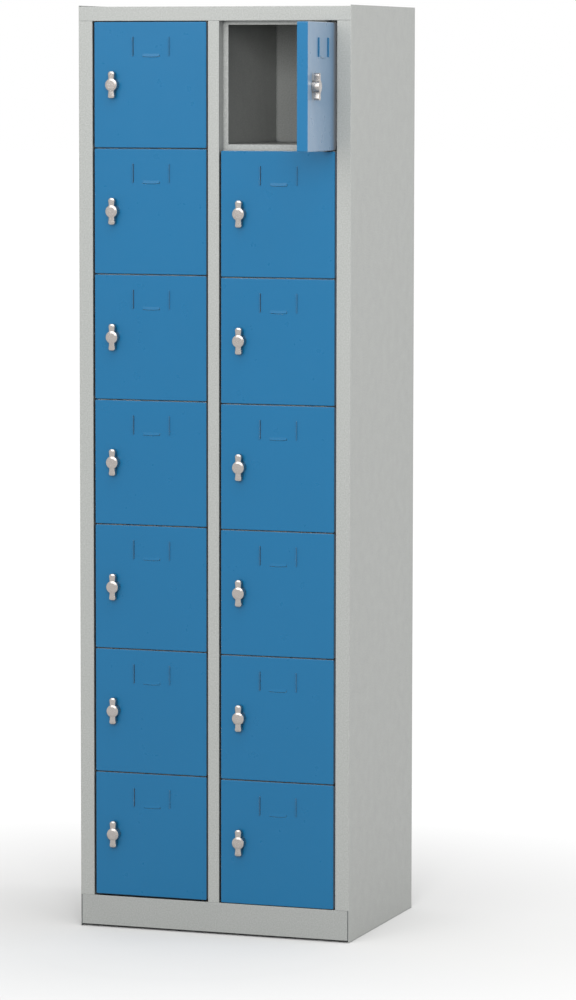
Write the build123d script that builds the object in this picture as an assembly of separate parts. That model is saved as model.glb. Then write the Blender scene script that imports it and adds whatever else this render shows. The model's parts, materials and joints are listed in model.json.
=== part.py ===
from build123d import *
from math import asin, degrees, sqrt
import os

# Steel locker: two columns of compartments in one cabinet, each with its own hinged door and
# turn handle. Millimetres, X to the right, Y to the back, Z up. The origin is on the floor,
# under the middle of the cabinet. The top door of the right column stands open.

os.makedirs("parts", exist_ok=True)

# Cabinet
WIDTH = 555.0
DEPTH = 400.0
HEIGHT = 1800.0
SHEET = 1.2
SIDE_STAND_UP = 2.3            # the side panels rise this far above the top panel
BACK_RECESS = 10.0             # the back panel's sheet lies this far in from the rear edges
EDGE_ROUND = 0.8
BEND_RADIUS = 1.1

# Front frame
ROWS = 7
ROW_PITCH = 243.5
PLINTH_HEIGHT = 62.5
BOTTOM_GAP = 2.5               # from the plinth to the left column's lowest gap line
HEAD_GAP = 0.8                 # from its highest gap line to the header
PLINTH_FLOOR_GAP = 4.0
PLINTH_END_GAP = 1.0
PLINTH_BOTTOM_RETURN = 15.0
STILE_WIDTH = 28.2
POST_WIDTH = 22.2
HEM_WIDTH = 10.0
PARTITION_SETBACK = 0.6        # from the post's hinge-side edge to the partition

# Rebate that the doors close into
REBATE_DEPTH = 24.0
STOP_WIDTH = 10.4
STOP_DROP = 7.4                # below a gap line, the stop that meets a door's top edge
SHELF_RISE = 10.6              # shelf surface above a gap line
HINGE_NOTCH = 28.0             # stops and shelves are cut away this far from the hinge edge
NOTCH_DEPTH = 28.5             # and back to this depth

# Base pan and wall fixing
BASE_FLANGE = 15.0
BASE_SETBACK = 20.0
WALL_HOLE_RADIUS = 4.0
WALL_HOLE_SPAN_X = 450.0
WALL_HOLE_SPAN_Z = 1500.0

# Doors
DOOR_SIDE_GAP = 4.0
DOOR_END_GAP = 1.0
DOOR_THICKNESS = 20.5
DOOR_SKIN = 1.0
DOOR_LIP = 8.0
DOOR_CORNER_RADIUS = 2.2
DOOR_EDGE_RADIUS = 1.6
OPEN_ANGLE = 95.0

# Card holder pressed into a door: two guide slots with raised ribs outside them, and a lip
# under the card. Drops are measured down from the door's top edge.
CARD_OFFSET = 2.0              # the holder's middle, right of the door's middle
CARD_SLOT_WIDTH = 0.9
CARD_SLOT_LENGTH = 36.4
CARD_SLOT_TOP = 28.8
CARD_SLOT_SPACING = 72.5
RIB_WIDTH = 1.3
RIB_HEIGHT = 3.0
RIB_ROUND = 0.6
LIP_DROP = 67.0
LIP_LENGTH = 34.0
LIP_RADIUS = 145.0
LIP_RISE = 5.8                 # from the lip's free edge up to where it leaves the skin
LIP_PROUD = 0.6
SLIT_WIDTH = 0.7
SLIT_TURN_UP = 4.0             # the slit turns up beside the lip's right end

# Hinges
PIVOT_FROM_EDGE = 13.0
PIVOT_DEPTH = 10.0
PIN_RADIUS = 2.0
PIN_REACH = 7.0
PIN_HEAD = 3.0
TAB_THICKNESS = 1.2
TAB_RADIUS = 6.0
RUNNING_CLEARANCE = 0.05

# Turn handle, on an axis measured from the door's free edge
HANDLE_FROM_EDGE = 40.0
HANDLE_STANDOFF = 0.4
HANDLE_HEIGHT = 15.6
DISC_RADIUS = 11.9
DISC_BEVEL = 3.8               # bevels are wide and shallow, all at one slope
BEVEL_SLOPE = 0.33
TAB_STANDOFF = 3.8
TAB_FRONT = 14.4
TAB_BEVEL = 3.2
TAB_NECK = 10.6
TAB_TIP = 14.2
FLARE_START = 15.0
FLARE_RADIUS = 45.0
UPPER_TAB_REACH = 25.7
LOWER_TAB_REACH = 25.2
UPPER_TAB_CORNER = 5.0
LOWER_TAB_CORNER = 3.5
SPINDLE_RADIUS = 5.0
SPINDLE_LENGTH = 23.0
SQUARE_SIDE = 7.0

# Latch cam, behind the stop flange
CAM_DEPTH = 26.0
CAM_THICKNESS = 2.0
CAM_WIDTH = 14.0
CAM_REACH = 40.0
CAM_CLEARANCE = 0.05

# Worked out
FRONT = -DEPTH / 2
REAR = DEPTH / 2
WALL = WIDTH / 2 - SHEET                  # inner face of each side panel
TOP = HEIGHT - SIDE_STAND_UP
LOWEST_GAP = PLINTH_HEIGHT + BOTTOM_GAP
HEAD = LOWEST_GAP + ROWS * ROW_PITCH + HEAD_GAP      # lower edge of the header
BACK = REAR - BACK_RECESS                 # inner face of the back panel
STOP_BACK = REBATE_DEPTH + SHEET
PARTITION = -POST_WIDTH / 2 + PARTITION_SETBACK
OPENING_WIDTH = WIDTH / 2 - STILE_WIDTH - POST_WIDTH / 2
DOOR_WIDTH = OPENING_WIDTH - 2 * DOOR_SIDE_GAP
DOOR_HEIGHT = ROW_PITCH - 2 * DOOR_END_GAP
CARD_MIDDLE = DOOR_WIDTH / 2 + CARD_OFFSET

# For each column: the latch-side edge of its opening, and its walls on the latch and hinge side
COLUMNS = {
    "left": (-WIDTH / 2 + STILE_WIDTH, -WALL, PARTITION),
    "right": (POST_WIDTH / 2, PARTITION + SHEET, WALL),
}

# The right column's doors, shelves and hinges all sit this much lower
COLUMN_DROP = {"left": 0.0, "right": 2.4}

LOW_CORNER = (Align.MIN, Align.MIN, Align.MIN)
STANDING = (Align.CENTER, Align.CENTER, Align.MIN)


def block(x, y, z):
    """Box between two X, two Y and two Z values, with depths in y measured from the front."""
    size = Box(x[1] - x[0], y[1] - y[0], z[1] - z[0], align=LOW_CORNER)
    return Pos(x[0], FRONT + y[0], z[0]) * size


def pillar(x, depth, radius, z):
    """Upright cylinder between two Z values."""
    return Pos(x, FRONT + depth, z[0]) * Cylinder(radius, z[1] - z[0], align=STANDING)


def gap_line(column, index):
    """Height of the gap below door number index of a column, counted from the bottom."""
    return LOWEST_GAP + index * ROW_PITCH - COLUMN_DROP[column]


def pivot_x(column):
    return COLUMNS[column][0] + DOOR_SIDE_GAP + DOOR_WIDTH - PIVOT_FROM_EDGE


def hinge_edge(column):
    return COLUMNS[column][0] + OPENING_WIDTH


def save(name, *solids):
    shape = solids[0] if len(solids) == 1 else Compound(children=list(solids))
    export_step(shape, f"parts/{name}.step")


# ---- cabinet shell ----

def side_panel(side):
    sheet = block((WALL, WIDTH / 2), (0, DEPTH), (0, HEIGHT))
    outer_edges = sheet.faces().sort_by(Axis.X)[-1].edges()
    sheet = fillet(outer_edges.filter_by(Axis.Z), EDGE_ROUND)
    return sheet if side > 0 else mirror(sheet, about=Plane.YZ)


def back_panel():
    full = block((-WALL, WALL), (BACK - FRONT, DEPTH), (0, TOP - SHEET))
    hollow = block((-WALL + SHEET, WALL - SHEET), (BACK - FRONT + SHEET, DEPTH),
                   (SHEET, TOP - 2 * SHEET))
    panel = full - hollow
    for x in (-WALL_HOLE_SPAN_X / 2, WALL_HOLE_SPAN_X / 2):
        for z in (HEIGHT / 2 - WALL_HOLE_SPAN_Z / 2, HEIGHT / 2 + WALL_HOLE_SPAN_Z / 2):
            hole = Plane.XZ.offset(-BACK) * Pos(x, z) * Circle(WALL_HOLE_RADIUS)
            panel -= extrude(hole, amount=2 * SHEET, both=True)
    return panel


def top_panel():
    return block((-WALL, WALL), (SHEET, DEPTH), (TOP - SHEET, TOP))


def base_pan():
    pan = block((-WALL, WALL), (BASE_SETBACK, BACK - FRONT), (0, SHEET))
    return pan + block((-WALL, WALL), (BASE_SETBACK, BASE_SETBACK + SHEET), (SHEET, BASE_FLANGE))


# ---- front frame ----

def header():
    bar = block((-WALL, WALL), (0, SHEET), (HEAD, TOP))
    bar += block((-WALL, WALL), (SHEET, STOP_BACK), (HEAD, HEAD + SHEET))
    front_edges = bar.faces().sort_by(Axis.Y)[0].edges().filter_by(Axis.X)
    bar = fillet(front_edges, BEND_RADIUS)
    for column in COLUMNS:
        stop_from = COLUMNS[column][0] + STOP_WIDTH
        stop_to = hinge_edge(column) - HINGE_NOTCH
        bar += block((stop_from, stop_to), (REBATE_DEPTH, STOP_BACK), (HEAD - STOP_DROP, HEAD))
        bar -= pillar(pivot_x(column), PIVOT_DEPTH, PIN_RADIUS, (HEAD, HEAD + SHEET))
    return bar


def plinth():
    ends = WALL - PLINTH_END_GAP
    bar = block((-ends, ends), (0, SHEET), (PLINTH_FLOOR_GAP, PLINTH_HEIGHT))
    bar += block((-ends, ends), (SHEET, REBATE_DEPTH), (PLINTH_HEIGHT - SHEET, PLINTH_HEIGHT))
    bar += block((-ends, ends), (SHEET, PLINTH_BOTTOM_RETURN),
                 (PLINTH_FLOOR_GAP, PLINTH_FLOOR_GAP + SHEET))
    front_edges = bar.faces().sort_by(Axis.Y)[0].edges().filter_by(Axis.X)
    bar = fillet(front_edges, BEND_RADIUS)
    for column in COLUMNS:
        bar -= pillar(pivot_x(column), PIVOT_DEPTH, PIN_RADIUS,
                      (PLINTH_HEIGHT - SHEET, PLINTH_HEIGHT))
    return bar


def latch_side_strip(face_from, latch_edge):
    """Front strip and jamb return, folded from one sheet."""
    strip = block((face_from, latch_edge), (0, SHEET), (PLINTH_HEIGHT, HEAD))
    jamb = block((latch_edge - SHEET, latch_edge), (SHEET, STOP_BACK), (PLINTH_HEIGHT, HEAD))
    strip += jamb
    front = strip.faces().sort_by(Axis.Y)[0].edges().filter_by(Axis.Z).sort_by(Axis.X)[-1]
    return fillet(front, BEND_RADIUS)


def stile_left():
    return latch_side_strip(-WALL, COLUMNS["left"][0])


def centre_post():
    return latch_side_strip(-POST_WIDTH / 2, COLUMNS["right"][0])


def door_stop(column):
    """Upright strip welded to the jamb, which the doors' free edges close against."""
    latch_edge = COLUMNS[column][0]
    return block((latch_edge, latch_edge + STOP_WIDTH), (REBATE_DEPTH, STOP_BACK),
                 (PLINTH_HEIGHT, HEAD))


def stile_right():
    edge = hinge_edge("right")
    strip = block((edge, WALL), (0, SHEET), (PLINTH_HEIGHT, HEAD))
    strip += block((edge, edge + HEM_WIDTH), (SHEET, 2 * SHEET), (PLINTH_HEIGHT, HEAD))
    front = strip.faces().sort_by(Axis.Y)[0].edges().filter_by(Axis.Z).sort_by(Axis.X)[0]
    return fillet(front, BEND_RADIUS)


def partition():
    """Full-height wall between the columns, notched round the plinth and the header."""
    x = (PARTITION, PARTITION + SHEET)
    wall = block(x, (STOP_BACK, BACK - FRONT), (SHEET, TOP - SHEET))
    return wall + block(x, (SHEET, STOP_BACK), (PLINTH_HEIGHT, HEAD))


def shelf(column, index):
    """Shelf with a turned-down front lip; its corners clear the stop flange and the hinge."""
    latch_edge, latch_wall, hinge_wall = COLUMNS[column]
    lip_from = latch_edge + STOP_WIDTH
    lip_to = hinge_edge(column) - HINGE_NOTCH
    level = gap_line(column, index) + SHELF_RISE
    pan = block((latch_wall, hinge_wall), (REBATE_DEPTH, BACK - FRONT), (level - SHEET, level))
    pan -= block((latch_wall, lip_from), (REBATE_DEPTH, STOP_BACK), (level - SHEET, level))
    pan -= block((lip_to, hinge_wall), (REBATE_DEPTH, NOTCH_DEPTH), (level - SHEET, level))
    lip_low = gap_line(column, index) - STOP_DROP
    return pan + block((lip_from, lip_to), (REBATE_DEPTH, STOP_BACK), (lip_low, level - SHEET))


def hinge_tab(column, index):
    middle = gap_line(column, index)
    z = (middle - TAB_THICKNESS / 2, middle + TAB_THICKNESS / 2)
    x = pivot_x(column)
    tab = block((x, COLUMNS[column][2]), (PIVOT_DEPTH - TAB_RADIUS, PIVOT_DEPTH + TAB_RADIUS), z)
    tab += pillar(x, PIVOT_DEPTH, TAB_RADIUS, z)
    return tab - pillar(x, PIVOT_DEPTH, PIN_RADIUS, z)


def hinge_pin(column, index):
    """Pin through a hinge tab, or through the plinth or the header at the ends."""
    middle = gap_line(column, index)
    low = PLINTH_HEIGHT - PIN_HEAD if index == 0 else middle - PIN_REACH
    high = HEAD + PIN_HEAD if index == ROWS else middle + PIN_REACH
    return pillar(pivot_x(column), PIVOT_DEPTH, PIN_RADIUS, (low, high))


# ---- door, drawn with its free edge at X 0, its outer face at Y 0 and its lower edge at Z 0 ----

def door_pan():
    blank = Box(DOOR_WIDTH, DOOR_THICKNESS, DOOR_HEIGHT, align=LOW_CORNER)
    blank = fillet(blank.edges().filter_by(Axis.Y), DOOR_CORNER_RADIUS)
    blank = fillet(blank.faces().sort_by(Axis.Y)[0].edges(), DOOR_EDGE_RADIUS)
    hollow_depth = DOOR_THICKNESS - 2 * DOOR_SKIN
    hollow = Box(DOOR_WIDTH - 2 * DOOR_SKIN, hollow_depth, DOOR_HEIGHT - 2 * DOOR_SKIN,
                 align=LOW_CORNER)
    rim = DOOR_SKIN + DOOR_LIP
    mouth = Box(DOOR_WIDTH - 2 * rim, 2 * DOOR_SKIN, DOOR_HEIGHT - 2 * rim, align=LOW_CORNER)
    blank -= Pos(DOOR_SKIN, DOOR_SKIN, DOOR_SKIN) * hollow
    return blank - Pos(rim, DOOR_THICKNESS - 1.5 * DOOR_SKIN, rim) * mouth


def skin_cut(sketch, x, z):
    """Cut through the door skin only."""
    return extrude(Plane.XZ * Pos(x, z) * sketch, amount=2 * DOOR_SKIN, both=True)


def add_card_guide(door, side):
    """Slot for one edge of the card, with a raised rib along its outer side."""
    x = CARD_MIDDLE + side * CARD_SLOT_SPACING / 2
    z = DOOR_HEIGHT - CARD_SLOT_TOP - CARD_SLOT_LENGTH / 2
    door -= skin_cut(SlotOverall(CARD_SLOT_LENGTH, CARD_SLOT_WIDTH, rotation=90), x, z)
    rib = Box(RIB_WIDTH, RIB_HEIGHT + DOOR_SKIN / 2, CARD_SLOT_LENGTH,
              align=(Align.CENTER, Align.MAX, Align.CENTER))
    rib = fillet(rib.faces().sort_by(Axis.Y)[0].edges(), RIB_ROUND)
    rib_x = x + side * (CARD_SLOT_WIDTH + RIB_WIDTH) / 2
    return door + Pos(rib_x, DOOR_SKIN / 2, z) * rib


def add_card_lip(door):
    """Curved lip pressed out of the skin, with a slit under its free edge."""
    low = DOOR_HEIGHT - LIP_DROP
    profile = Polyline((DOOR_SKIN / 2, LIP_RISE), (0, LIP_RISE), (-LIP_PROUD, 0.4),
                       (-LIP_PROUD, 0), (DOOR_SKIN / 2, 0), close=True)
    section = Plane.YZ * Pos(0, -LIP_RADIUS) * make_face(profile)
    sweep = 2 * degrees(asin(LIP_LENGTH / 2 / LIP_RADIUS))
    lip = revolve(section, Axis.Y, sweep).rotate(Axis.Y, -sweep / 2)
    door += Pos(CARD_MIDDLE, 0, low + LIP_RADIUS) * lip
    reach = LIP_RADIUS + SLIT_WIDTH / 2
    half = LIP_LENGTH / 2
    rise = reach - sqrt(reach ** 2 - half ** 2)
    curve = ThreePointArc((-half, rise), (0, 0), (half, rise))
    door -= skin_cut(SlotArc(curve, SLIT_WIDTH), CARD_MIDDLE, low - SLIT_WIDTH / 2)
    turn_up = SlotOverall(SLIT_TURN_UP, SLIT_WIDTH, rotation=90)
    turn_up_z = low + rise + SLIT_TURN_UP / 2 - SLIT_WIDTH
    return door - skin_cut(turn_up, CARD_MIDDLE + half + SLIT_WIDTH / 2, turn_up_z)


def door_shell():
    door = door_pan()
    for side in (-1, 1):
        door = add_card_guide(door, side)
    door = add_card_lip(door)
    spindle_hole = Circle(SPINDLE_RADIUS + RUNNING_CLEARANCE)
    door -= skin_cut(spindle_hole, HANDLE_FROM_EDGE, DOOR_HEIGHT / 2)
    pin_hole = Cylinder(PIN_RADIUS + RUNNING_CLEARANCE, DOOR_HEIGHT, align=STANDING)
    return door - Pos(DOOR_WIDTH - PIVOT_FROM_EDGE, PIVOT_DEPTH, 0) * pin_hole


# ---- turn handle and cam, drawn about their axis, with the door's outer face at Y 0 ----

def raised(sketch, start, end):
    """Solid standing off the door's face, from one distance in front of it to another."""
    return extrude(Plane.XZ.offset(start) * sketch, amount=end - start)


def bevelled(shape, width):
    """Cuts a wide, shallow bevel round the front face."""
    front = shape.faces().sort_by(Axis.Y)[0]
    return chamfer(front.edges(), width, width * BEVEL_SLOPE, reference=front)


def handle_tab(reach, corner_radius):
    """Tab with a straight neck that flares towards its end."""
    right_side = ((TAB_NECK / 2, 0), (TAB_NECK / 2, FLARE_START), (TAB_TIP / 2, reach))
    left_side = [(-x, z) for x, z in reversed(right_side)]
    sketch = make_face(Polyline(*right_side, *left_side, close=True))
    sketch = fillet(sketch.vertices().sort_by(Axis.Y)[2:4], FLARE_RADIUS)
    sketch = fillet(sketch.vertices().sort_by(Axis.Y)[-2:], corner_radius)
    return bevelled(raised(sketch, TAB_STANDOFF, TAB_FRONT), TAB_BEVEL)


def turn_handle():
    disc = raised(Circle(DISC_RADIUS), HANDLE_STANDOFF, HANDLE_HEIGHT)
    handle = bevelled(disc, DISC_BEVEL)
    handle += handle_tab(UPPER_TAB_REACH, UPPER_TAB_CORNER)
    handle += Rot(0, 180, 0) * handle_tab(LOWER_TAB_REACH, LOWER_TAB_CORNER)
    handle += raised(Circle(SPINDLE_RADIUS), -SPINDLE_LENGTH, HANDLE_STANDOFF)
    square = Rectangle(SQUARE_SIDE, SQUARE_SIDE)
    return handle + raised(square, -CAM_DEPTH - CAM_THICKNESS, -SPINDLE_LENGTH)


def latch_cam():
    reach = CAM_REACH - CAM_WIDTH / 2
    plate = Pos(0, reach / 2) * SlotCenterToCenter(reach, CAM_WIDTH, rotation=90)
    plate -= Rectangle(SQUARE_SIDE + 2 * CAM_CLEARANCE, SQUARE_SIDE + 2 * CAM_CLEARANCE)
    return raised(plate, -CAM_DEPTH - CAM_THICKNESS, -CAM_DEPTH)


def save_doors():
    """One door, handle and cam for each compartment; row 1 is at the top."""
    door, handle, cam = door_shell(), turn_handle(), latch_cam()
    for column, (latch_edge, _, _) in COLUMNS.items():
        free_edge = latch_edge + DOOR_SIDE_GAP
        hinge = Axis((pivot_x(column), FRONT + PIVOT_DEPTH, 0), (0, 0, 1))
        for row in range(1, ROWS + 1):
            low = gap_line(column, ROWS - row) + DOOR_END_GAP
            spindle = Pos(free_edge + HANDLE_FROM_EDGE, FRONT, low + DOOR_HEIGHT / 2)
            turn = OPEN_ANGLE if (column, row) == ("right", 1) else 0.0
            tag = f"{column}_{row}"
            save(f"door_shell_{tag}", (Pos(free_edge, FRONT, low) * door).rotate(hinge, turn))
            save(f"turn_handle_{tag}", (spindle * handle).rotate(hinge, turn))
            save(f"latch_cam_{tag}", (spindle * cam).rotate(hinge, turn))


def save_cabinet():
    save("side_panel_left", side_panel(-1))
    save("side_panel_right", side_panel(1))
    save("back_panel", back_panel())
    save("top_panel", top_panel())
    save("base_pan", base_pan())
    save("front_header", header())
    save("plinth_panel", plinth())
    save("stile_left", stile_left())
    save("stile_right", stile_right())
    save("centre_post", centre_post())
    save("centre_partition", partition())
    for column in COLUMNS:
        save(f"door_stop_{column}", door_stop(column))
        save(f"shelves_{column}", *[shelf(column, index) for index in range(ROWS)])
    save("hinge_tabs", *[hinge_tab(c, i) for c in COLUMNS for i in range(1, ROWS)])
    save("hinge_pins", *[hinge_pin(c, i) for c in COLUMNS for i in range(ROWS + 1)])


save_cabinet()
save_doors()
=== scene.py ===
import json
import math

import bmesh
import bpy
from mathutils import Matrix, Quaternion, Vector


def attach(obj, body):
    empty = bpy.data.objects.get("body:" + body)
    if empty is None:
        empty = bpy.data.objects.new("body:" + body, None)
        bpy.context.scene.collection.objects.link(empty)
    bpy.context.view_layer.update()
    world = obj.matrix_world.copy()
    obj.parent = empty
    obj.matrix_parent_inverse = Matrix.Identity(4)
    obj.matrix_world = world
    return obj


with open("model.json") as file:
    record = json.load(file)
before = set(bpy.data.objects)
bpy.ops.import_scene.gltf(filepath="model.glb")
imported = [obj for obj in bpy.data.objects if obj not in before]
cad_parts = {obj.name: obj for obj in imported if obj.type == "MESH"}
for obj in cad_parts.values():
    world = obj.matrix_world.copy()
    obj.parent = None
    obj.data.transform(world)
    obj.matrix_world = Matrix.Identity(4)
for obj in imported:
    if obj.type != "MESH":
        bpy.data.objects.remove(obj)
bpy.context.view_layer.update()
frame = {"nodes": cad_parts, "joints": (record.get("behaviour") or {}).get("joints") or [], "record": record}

# Looks for a steel locker with two columns of doors. Metres, in the row frame: X to the right,
# Y to the back, Z up, with the origin on the floor under the middle of the cabinet.

NODES = frame["nodes"]
JOINTS = {joint["name"]: joint for joint in frame["joints"]}
MM = 0.001
WHITE = (1.0, 1.0, 1.0, 1.0)

# Camera
CAMERA_PLACE = Vector((2.9844, -8.3479, 1.6642))
CAMERA_TARGET = Vector((0.15225, -0.2, 0.85465))
CAMERA_LENS = 162.44
CAMERA_ROLL = 0.0014

# Latch fittings behind each door. SKIN and every END or BACK is a depth behind its outer face
SKIN = 1.0 * MM
SPINDLE_RADIUS = 5.0 * MM
BARREL_RADIUS = 8.0 * MM
BARREL_END = 21.0 * MM
FLANGE_RADIUS = BARREL_RADIUS + 1.5 * MM
FLANGE_BACK = SKIN + 0.8 * MM
BARREL_BORE = SPINDLE_RADIUS + 0.25 * MM
THREAD_PITCH = 1.25 * MM
THREAD_HEIGHT = 0.5 * MM
NUT_ACROSS = 22.0 * MM
NUT_THICKNESS = 5.0 * MM
NUT_CHAMFER = 0.9 * MM
CAM_BACK = 28.0 * MM
WASHER_RADIUS = 6.0 * MM
WASHER_THICKNESS = 0.6 * MM
WASHER_BORE = 0.5 * MM
WASHER_RIM = 0.2 * MM
SCREW_ACROSS = 7.0 * MM
SCREW_HEAD = 0.9 * MM
SCREW_CHAMFER = 0.3 * MM
ROUND_STEPS = 48
NUT_STEPS = 24

# Paints: the two ends of the slow clouding, the two ends of the fine grain, and the painted highlight on the
# edges
GREY_CLOUD = ((0.2080, 0.2138, 0.2049), (0.2219, 0.2277, 0.2188))
GREY_GRAIN = ((0.1800, 0.1853, 0.1777), (0.2468, 0.2540, 0.2444))
GREY_EDGE_HIGHLIGHT = (0.3880, 0.3937, 0.3802)
BLUE_CLOUD = ((0.0002, 0.0711, 0.1590), (0.0005, 0.0771, 0.1720))
BLUE_GRAIN = ((0.0001, 0.0665, 0.1513), (0.0005, 0.0809, 0.1797))
BLUE_EDGE_HIGHLIGHT = (0.0504, 0.1890, 0.3302)
EDGE_WIDTH = 0.9 * MM

# Metals: the darkest and the palest tone of each
NICKEL_TONES = ((0.400, 0.373, 0.352), (0.460, 0.430, 0.407))
ZINC_TONES = ((0.42, 0.43, 0.45), (0.66, 0.67, 0.68))
HINGE_TONES = ((0.035, 0.037, 0.040), (0.075, 0.078, 0.083))

# Painted shade in the narrow gaps round the doors: reach of the search, openness where it starts and where
# it is complete, and colour, which also paints the plinth's shade and seam lines
GAP_REACH = 9.0 * MM
GAP_SHADE = (0.60, 0.20)
GAP_SHADE_COLOUR = (0.006, 0.014, 0.022)

# Plinth: painted a little darker than the rest as shade, with a painted shade line at the seam where it
# meets the side panels, given as distances from the cabinet's middle
PLINTH_SHADE = 0.08
SEAM_SPAN = (274.2 * MM, 275.4 * MM)

# Floor: plain near the locker, turning into a lit white sweep between two distances from its centre
SWEEP_CENTRE = (0.0, -0.35, 0.0)
SWEEP_START = 0.3
SWEEP_END = 1.6
SWEEP_GLOW = 1.03
FLOOR_TONES = ((0.472, 0.472, 0.469), (0.482, 0.482, 0.479))
FLOOR_RADIUS = 90.0
FLOOR_DROP = 0.5 * MM

# Sockets of the colour Mix node, whose names repeat for its other data types
MIX_FIRST = 6
MIX_SECOND = 7
MIX_RESULT = 2


# ---- node helpers ----

class Shader:
    """A material whose nodes are added one call at a time."""

    def __init__(self, name):
        self.material = bpy.data.materials.new(name)
        self.material.use_nodes = True
        self.tree = self.material.node_tree
        self.tree.nodes.clear()
        self.output = self.add("ShaderNodeOutputMaterial")

    def add(self, kind, **inputs):
        node = self.tree.nodes.new(kind)
        for key, value in inputs.items():
            self.put(node, key.replace("_", " "), value)
        return node

    def put(self, node, key, value):
        """Sets a socket to a number or colour, or links another node's first output to it."""
        socket = node.inputs[key]
        if isinstance(value, bpy.types.NodeSocket):
            self.tree.links.new(value, socket)
        elif isinstance(value, bpy.types.Node):
            self.tree.links.new(value.outputs[0], socket)
        else:
            socket.default_value = value

    def place(self):
        """Position on the part, in metres."""
        return self.add("ShaderNodeTexCoord").outputs["Object"]

    def noise(self, scale, detail):
        """Noise from 0 to 1, at a scale in features per metre."""
        node = self.add("ShaderNodeTexNoise", Vector=self.place(), Scale=scale, Detail=detail)
        return node.outputs["Fac"]

    def remap(self, value, low, high, start=0.0, end=1.0):
        """Runs from low to high as the value goes from start to end."""
        node = self.add("ShaderNodeMapRange", Value=value)
        self.put(node, "From Min", start)
        self.put(node, "From Max", end)
        self.put(node, "To Min", low)
        self.put(node, "To Max", high)
        return node.outputs["Result"]

    def blend(self, factor, first, second):
        """Mixes two colours, each given as a value or as another node's output."""
        node = self.tree.nodes.new("ShaderNodeMix")
        node.data_type = "RGBA"
        self.put(node, "Factor", factor)
        for index, colour in ((MIX_FIRST, first), (MIX_SECOND, second)):
            if isinstance(colour, bpy.types.NodeSocket):
                self.tree.links.new(colour, node.inputs[index])
            else:
                node.inputs[index].default_value = (*colour, 1.0)
        return node.outputs[MIX_RESULT]

    def math(self, operation, first, second=0.0):
        node = self.tree.nodes.new("ShaderNodeMath")
        node.operation = operation
        for index, value in enumerate((first, second)):
            if isinstance(value, bpy.types.NodeSocket):
                self.tree.links.new(value, node.inputs[index])
            else:
                node.inputs[index].default_value = value
        return node.outputs[0]

    def rounded_normal(self, radius):
        """Normal that rounds sharp edges off in the shading."""
        node = self.add("ShaderNodeBevel", Radius=radius)
        node.samples = 4
        return node.outputs["Normal"]

    def bump(self, height, distance, normal):
        node = self.add("ShaderNodeBump", Height=height, Distance=distance, Normal=normal)
        return node.outputs["Normal"]

    def edge_mask(self, radius):
        """Near 1 along sharp edges, where the rounded normal leaves the true one."""
        geometry = self.add("ShaderNodeNewGeometry")
        dot = self.tree.nodes.new("ShaderNodeVectorMath")
        dot.operation = "DOT_PRODUCT"
        self.tree.links.new(self.rounded_normal(radius), dot.inputs[0])
        self.tree.links.new(geometry.outputs["Normal"], dot.inputs[1])
        return self.remap(dot.outputs["Value"], 1.0, 0.0, 0.80, 0.99)

    def crevice_shade(self, distance, slight, deep):
        """Rises from 0 to 1 as nearby surfaces close off the view, from slight to deep; it places painted
        shade.
        """
        node = self.tree.nodes.new("ShaderNodeAmbientOcclusion")
        node.samples = 6
        self.put(node, "Distance", distance)
        return self.remap(node.outputs["AO"], 1.0, 0.0, deep, slight)

    def end_mask(self, start, end):
        """Rises from 0 to 1 between two distances to either side of the cabinet's middle."""
        across = self.add("ShaderNodeSeparateXYZ", Vector=self.place()).outputs["X"]
        return self.remap(self.math("ABSOLUTE", across), 0.0, 1.0, start, end)

    def surface(self, **inputs):
        """Finishes the material with one Principled shader."""
        shader = self.add("ShaderNodeBsdfPrincipled", **inputs)
        self.tree.links.new(shader.outputs[0], self.output.inputs["Surface"])
        return self.material


# ---- materials ----

def powder_coat_grey(name, shade=0.0, seam_shade=False):
    """Light grey powder coat with a fine grain, a painted highlight along its edges and painted shade in its
    gaps. Shade darkens it all over as painted shade, and the seam flag adds painted shade lines at the ends.
    """
    s = Shader(name)
    cloud = s.blend(s.noise(5.0, 3.0), *GREY_CLOUD)
    grain = s.blend(s.remap(s.noise(400.0, 2.0), 0.0, 1.0, 0.36, 0.66), *GREY_GRAIN)
    # Painted highlight along the sharp edges, where the bends catch the light
    edge_highlight = s.math("MULTIPLY", s.edge_mask(EDGE_WIDTH), 0.35)
    colour = s.blend(edge_highlight, s.blend(0.65, cloud, grain), GREY_EDGE_HIGHLIGHT)
    # Painted shade in the gaps and crevices, where nearby surfaces close off the view
    colour = s.blend(s.crevice_shade(GAP_REACH, *GAP_SHADE), colour, GAP_SHADE_COLOUR)
    # Painted shade over the whole part, by the given amount
    colour = s.blend(shade, colour, GAP_SHADE_COLOUR)
    # Painted shade lines along the seams where the plinth meets the side panels
    if seam_shade:
        colour = s.blend(s.end_mask(*SEAM_SPAN), colour, GAP_SHADE_COLOUR)
    peel = s.math("ADD", s.noise(320.0, 2.0), s.math("MULTIPLY", s.noise(1500.0, 2.0), 0.45))
    normal = s.bump(peel, 0.05 * MM, s.rounded_normal(0.6 * MM))
    rough = s.remap(s.noise(40.0, 4.0), 0.35, 0.43, 0.3, 0.7)
    return s.surface(Base_Color=colour, Roughness=rough, IOR=1.42, Normal=normal)


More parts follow.
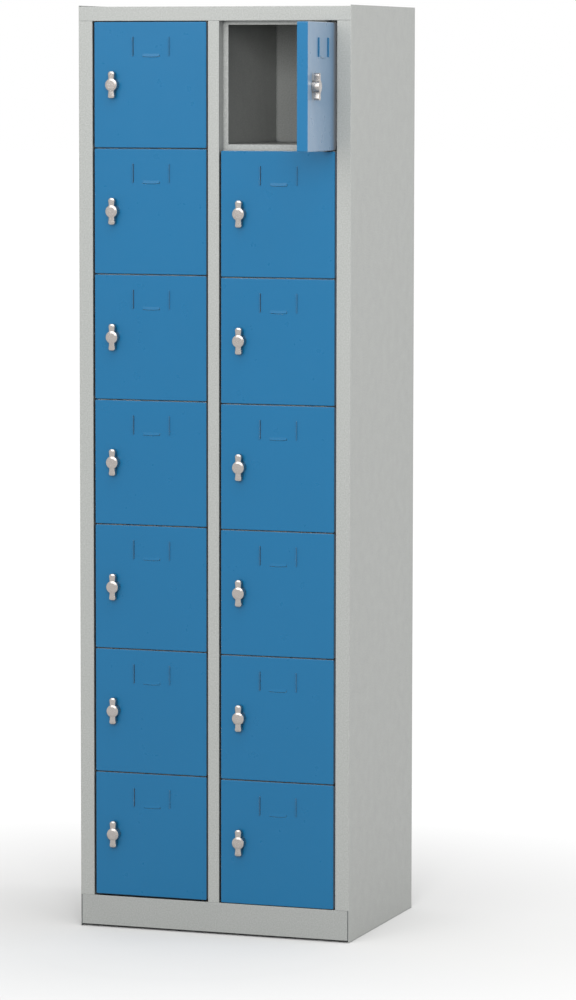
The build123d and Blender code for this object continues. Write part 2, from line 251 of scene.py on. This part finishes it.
def enamel_blue():
    """Smooth blue enamel with a slight orange peel, a painted highlight along the bends and painted shade in
    the gaps.
    """
    s = Shader("enamel_blue")
    cloud = s.blend(s.noise(7.0, 3.0), *BLUE_CLOUD)
    grain = s.blend(s.remap(s.noise(700.0, 3.0), 0.0, 1.0, 0.30, 0.72), *BLUE_GRAIN)
    # Painted highlight along the sharp edges, where the bends catch the light
    edge_highlight = s.math("MULTIPLY", s.edge_mask(EDGE_WIDTH), 0.30)
    colour = s.blend(edge_highlight, s.blend(0.30, cloud, grain), BLUE_EDGE_HIGHLIGHT)
    # Painted shade in the gaps and crevices, where nearby surfaces close off the view
    colour = s.blend(s.crevice_shade(GAP_REACH, *GAP_SHADE), colour, GAP_SHADE_COLOUR)
    peel = s.math("ADD", s.noise(230.0, 1.0), s.math("MULTIPLY", s.noise(900.0, 1.0), 0.25))
    normal = s.bump(peel, 0.02 * MM, s.rounded_normal(0.5 * MM))
    rough = s.remap(s.noise(30.0, 4.0), 0.27, 0.32, 0.3, 0.7)
    return s.surface(Base_Color=colour, Roughness=rough, IOR=1.40, Normal=normal,
                     Sheen_Weight=0.27, Sheen_Roughness=0.35, Sheen_Tint=(1.0, 0.93, 0.84, 1.0))


def satin_nickel():
    """Die-cast handle, plated and softly polished, with faint casting ripple."""
    s = Shader("satin_nickel")
    colour = s.blend(s.noise(160.0, 3.0), *NICKEL_TONES)
    ripple = s.math("ADD", s.noise(450.0, 2.0), s.math("MULTIPLY", s.noise(2600.0, 2.0), 0.2))
    normal = s.bump(ripple, 0.03 * MM, s.rounded_normal(0.5 * MM))
    rough = s.remap(s.noise(500.0, 3.0), 0.15, 0.30, 0.3, 0.7)
    return s.surface(Base_Color=colour, Metallic=1.0, Roughness=rough, Normal=normal)


def zinc_plate(name, tones, roughness):
    """Zinc-plated steel: cloudy spangle with a fine rolled grain."""
    s = Shader(name)
    cells = s.add("ShaderNodeTexVoronoi", Vector=s.place(), Scale=420.0).outputs["Color"]
    spangle = s.add("ShaderNodeSeparateColor", Color=cells).outputs["Red"]
    cloud = s.math("MULTIPLY", s.noise(90.0, 3.0), 0.6)
    mottle = s.math("ADD", s.math("MULTIPLY", spangle, 0.4), cloud)
    colour = s.blend(s.remap(mottle, 0.0, 1.0, 0.2, 0.8), *tones)
    normal = s.bump(s.noise(1800.0, 2.0), 0.03 * MM, s.rounded_normal(0.3 * MM))
    rough = s.remap(s.noise(260.0, 3.0), roughness - 0.08, roughness + 0.08, 0.3, 0.7)
    return s.surface(Base_Color=colour, Metallic=1.0, Roughness=rough, Normal=normal)


def studio_floor():
    """Pale floor that turns into an evenly lit white sweep away from the object."""
    s = Shader("studio_floor")
    matt = s.add("ShaderNodeBsdfDiffuse", Color=s.blend(s.noise(3.0, 2.0), *FLOOR_TONES))
    glow = s.add("ShaderNodeEmission", Color=WHITE, Strength=SWEEP_GLOW)
    reach = s.tree.nodes.new("ShaderNodeVectorMath")
    reach.operation = "DISTANCE"
    s.tree.links.new(s.place(), reach.inputs[0])
    reach.inputs[1].default_value = SWEEP_CENTRE
    mix = s.tree.nodes.new("ShaderNodeMixShader")
    fade = s.remap(reach.outputs["Value"], 0.0, 1.0, SWEEP_START, SWEEP_END)
    s.tree.links.new(fade, mix.inputs[0])
    s.tree.links.new(matt.outputs[0], mix.inputs[1])
    s.tree.links.new(glow.outputs[0], mix.inputs[2])
    s.tree.links.new(mix.outputs[0], s.output.inputs["Surface"])
    return s.material


def repaint(node, material):
    node.data.materials.clear()
    node.data.materials.append(material)


def paint_frame():
    """Every CAD node gets the material of its slot in the record, and the plinth a darker one with painted
    shade.
    """
    materials = {
        "frame_grey": powder_coat_grey("powder_coat_grey"),
        "door_blue": enamel_blue(),
        "handle_chrome": satin_nickel(),
        "cam_steel": zinc_plate("cam_zinc", ZINC_TONES, 0.34),
        "hinge_steel": zinc_plate("hinge_dark", HINGE_TONES, 0.46),
    }
    for entry in frame["record"]["subparts"]:
        repaint(NODES[entry["node"]], materials[entry["material_slot"]])
    repaint(NODES["plinth_panel"], powder_coat_grey("plinth_grey", PLINTH_SHADE, seam_shade=True))
    return materials


# ---- mesh helpers ----

def bridge(mesh, rows, closed):
    """Faces between neighbouring rows of points, and from the last row to the first if closed."""
    following = rows[1:] + rows[:1] if closed else rows[1:]
    for row, after_row in zip(rows, following):
        for index in range(len(row)):
            after = (index + 1) % len(row)
            mesh.faces.new((row[index], row[after], after_row[after], after_row[index]))


def lathe(profile):
    """Turns a closed outline of (radius, depth) points about the depth axis; depth runs along +Y."""
    mesh = bmesh.new()
    rings = []
    for step in range(ROUND_STEPS):
        angle = 2 * math.pi * step / ROUND_STEPS
        ring = [mesh.verts.new((r * math.cos(angle), d, r * math.sin(angle))) for r, d in profile]
        rings.append(ring)
    bridge(mesh, rings, closed=True)
    bmesh.ops.recalc_face_normals(mesh, faces=mesh.faces)
    return mesh


def flat_reach(across, angle):
    """Distance from the middle of a hexagon to its edge, in one direction."""
    within = (angle % (math.pi / 3)) - math.pi / 6
    return across / 2 / math.cos(within)


def ring_of_points(mesh, depth, reach):
    """Ring at one depth, whose distance from the axis is a function of the angle."""
    row = []
    for step in range(NUT_STEPS):
        angle = 2 * math.pi * step / NUT_STEPS
        row.append(mesh.verts.new((reach(angle) * math.cos(angle), depth, reach(angle) * math.sin(angle))))
    return row


def hexagon_ring(across, bore, start, end, chamfer):
    """Nut or screw head: six flats outside, a round bore or none, and chamfered corners."""
    mesh = bmesh.new()
    corner = across / math.sqrt(3)
    rows = []
    for depth, shrink in ((start, chamfer), (start + chamfer, 0.0), (end - chamfer, 0.0), (end, chamfer)):
        rows.append(ring_of_points(mesh, depth, lambda a: min(flat_reach(across, a), corner - shrink)))
    if bore > 0:
        rows.append(ring_of_points(mesh, end, lambda a: bore))
        rows.append(ring_of_points(mesh, start, lambda a: bore))
    else:
        mesh.faces.new(rows[0])
        mesh.faces.new(list(reversed(rows[-1])))
    bridge(mesh, rows, closed=bore > 0)
    bmesh.ops.recalc_face_normals(mesh, faces=mesh.faces)
    return mesh


def smooth_by_angle(mesh_data, limit=math.radians(30)):
    """Smooth shading with sharp edges kept where faces meet at more than the limit."""
    work = bmesh.new()
    work.from_mesh(mesh_data)
    for face in work.faces:
        face.smooth = True
    for edge in work.edges:
        edge.smooth = len(edge.link_faces) == 2 and edge.calc_face_angle(0.0) < limit
    work.to_mesh(mesh_data)
    work.free()


def piece(name, mesh, matrix, material, body):
    """Added part that rides on a body."""
    data = bpy.data.meshes.new(name)
    mesh.to_mesh(data)
    mesh.free()
    smooth_by_angle(data)
    data.materials.append(material)
    made = bpy.data.objects.new(name, data)
    bpy.context.scene.collection.objects.link(made)
    made.matrix_world = matrix
    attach(made, body)


# ---- latch fittings ----

def barrel_profile():
    """Threaded tube round the spindle, with a flange against the door skin."""
    outline = [(BARREL_BORE, SKIN), (FLANGE_RADIUS, SKIN),
               (FLANGE_RADIUS, FLANGE_BACK), (BARREL_RADIUS, FLANGE_BACK)]
    depth = FLANGE_BACK + THREAD_PITCH
    while depth < BARREL_END - THREAD_PITCH:
        outline.append((BARREL_RADIUS - THREAD_HEIGHT, depth - THREAD_PITCH / 2))
        outline.append((BARREL_RADIUS, depth))
        depth += THREAD_PITCH
    outline.append((BARREL_RADIUS - 2 * THREAD_HEIGHT, BARREL_END))
    outline.append((BARREL_BORE, BARREL_END))
    return outline


def latch_frame(joint):
    """Matrix with its origin where the handle's axis meets the door's face, and +Y going in."""
    inward = -Vector(joint["axis"])
    up = Vector((0, 0, 1))
    side = inward.cross(up)
    turn = Matrix((side, inward, up)).transposed().to_4x4()
    return Matrix.Translation(Vector(joint["pos_m"])) @ turn


def washer_profile(start, end):
    """Flat disc with its rims eased."""
    inner = WASHER_RADIUS - WASHER_RIM
    return [(WASHER_BORE, start), (inner, start), (WASHER_RADIUS, start + WASHER_RIM),
            (WASHER_RADIUS, end - WASHER_RIM), (inner, end), (WASHER_BORE, end)]


def add_latch(tag, zinc):
    """Barrel and nut on the door, washer and screw on the handle."""
    place = latch_frame(JOINTS[f"handle_turn_{tag}"])
    door = f"door_{tag}"
    handle = f"handle_{tag}"
    piece(f"latch_barrel_{tag}", lathe(barrel_profile()), place, zinc, door)
    nut = hexagon_ring(NUT_ACROSS, BARREL_RADIUS, FLANGE_BACK, FLANGE_BACK + NUT_THICKNESS, NUT_CHAMFER)
    piece(f"latch_nut_{tag}", nut, place, zinc, door)
    washer_end = CAM_BACK + WASHER_THICKNESS
    piece(f"cam_washer_{tag}", lathe(washer_profile(CAM_BACK, washer_end)), place, zinc, handle)
    screw = hexagon_ring(SCREW_ACROSS, 0.0, washer_end, washer_end + SCREW_HEAD, SCREW_CHAMFER)
    piece(f"cam_screw_{tag}", screw, place, zinc, handle)


# ---- stage ----

def add_floor():
    mesh = bmesh.new()
    bmesh.ops.create_circle(mesh, cap_ends=True, radius=FLOOR_RADIUS, segments=96)
    data = bpy.data.meshes.new("floor")
    mesh.to_mesh(data)
    mesh.free()
    data.materials.append(studio_floor())
    floor = bpy.data.objects.new("floor", data)
    floor.location = (0.0, 0.0, -FLOOR_DROP)
    bpy.context.scene.collection.objects.link(floor)


def add_softbox(name, place, target, size, power, glossy=True):
    """Rectangular light that the camera does not see, and reflections only if glossy."""
    light = bpy.data.lights.new(name, "AREA")
    light.shape = "RECTANGLE"
    light.size, light.size_y = size
    light.energy = power
    lamp = bpy.data.objects.new(name, light)
    lamp.location = place
    direction = Vector(target) - Vector(place)
    lamp.rotation_euler = direction.to_track_quat("-Z", "Y").to_euler()
    lamp.visible_camera = False
    lamp.visible_glossy = glossy
    bpy.context.scene.collection.objects.link(lamp)


def add_world():
    world = bpy.data.worlds.new("studio")
    world.use_nodes = True
    background = world.node_tree.nodes["Background"]
    background.inputs["Color"].default_value = WHITE
    background.inputs["Strength"].default_value = 1.0
    bpy.context.scene.world = world


def add_lights():
    """Softboxes, with their places in metres and their powers in watts."""
    add_softbox("key", place=(1.65, -5.1, 2.3), target=(0.0, -0.2, 1.2), size=(2.0, 1.8), power=262.0,
                glossy=False)
    add_softbox("front", place=(-0.7, -4.9, 3.4), target=(0.0, -0.2, 1.0), size=(4.4, 2.6), power=92.0)
    add_softbox("overhead", place=(0.4, -1.4, 3.4), target=(0.0, -0.2, 1.4), size=(2.4, 1.4), power=40.0)
    add_softbox("side", place=(4.6, 0.6, 2.0), target=(0.28, 0.0, 1.1), size=(2.4, 2.4), power=105.0)


def add_camera():
    data = bpy.data.cameras.new("camera")
    data.lens = CAMERA_LENS
    data.clip_end = 200.0
    camera = bpy.data.objects.new("camera", data)
    camera.location = CAMERA_PLACE
    camera.rotation_mode = "QUATERNION"
    level = (CAMERA_TARGET - CAMERA_PLACE).to_track_quat("-Z", "Y")
    camera.rotation_quaternion = level @ Quaternion((0.0, 0.0, 1.0), CAMERA_ROLL)
    bpy.context.scene.collection.objects.link(camera)
    bpy.context.scene.camera = camera


# ---- the scene ----

bpy.context.scene.view_settings.view_transform = "Standard"
materials = paint_frame()
for joint_name in JOINTS:
    if joint_name.startswith("handle_turn_"):
        add_latch(joint_name.removeprefix("handle_turn_"), materials["cam_steel"])
add_floor()
add_world()
add_lights()
add_camera()
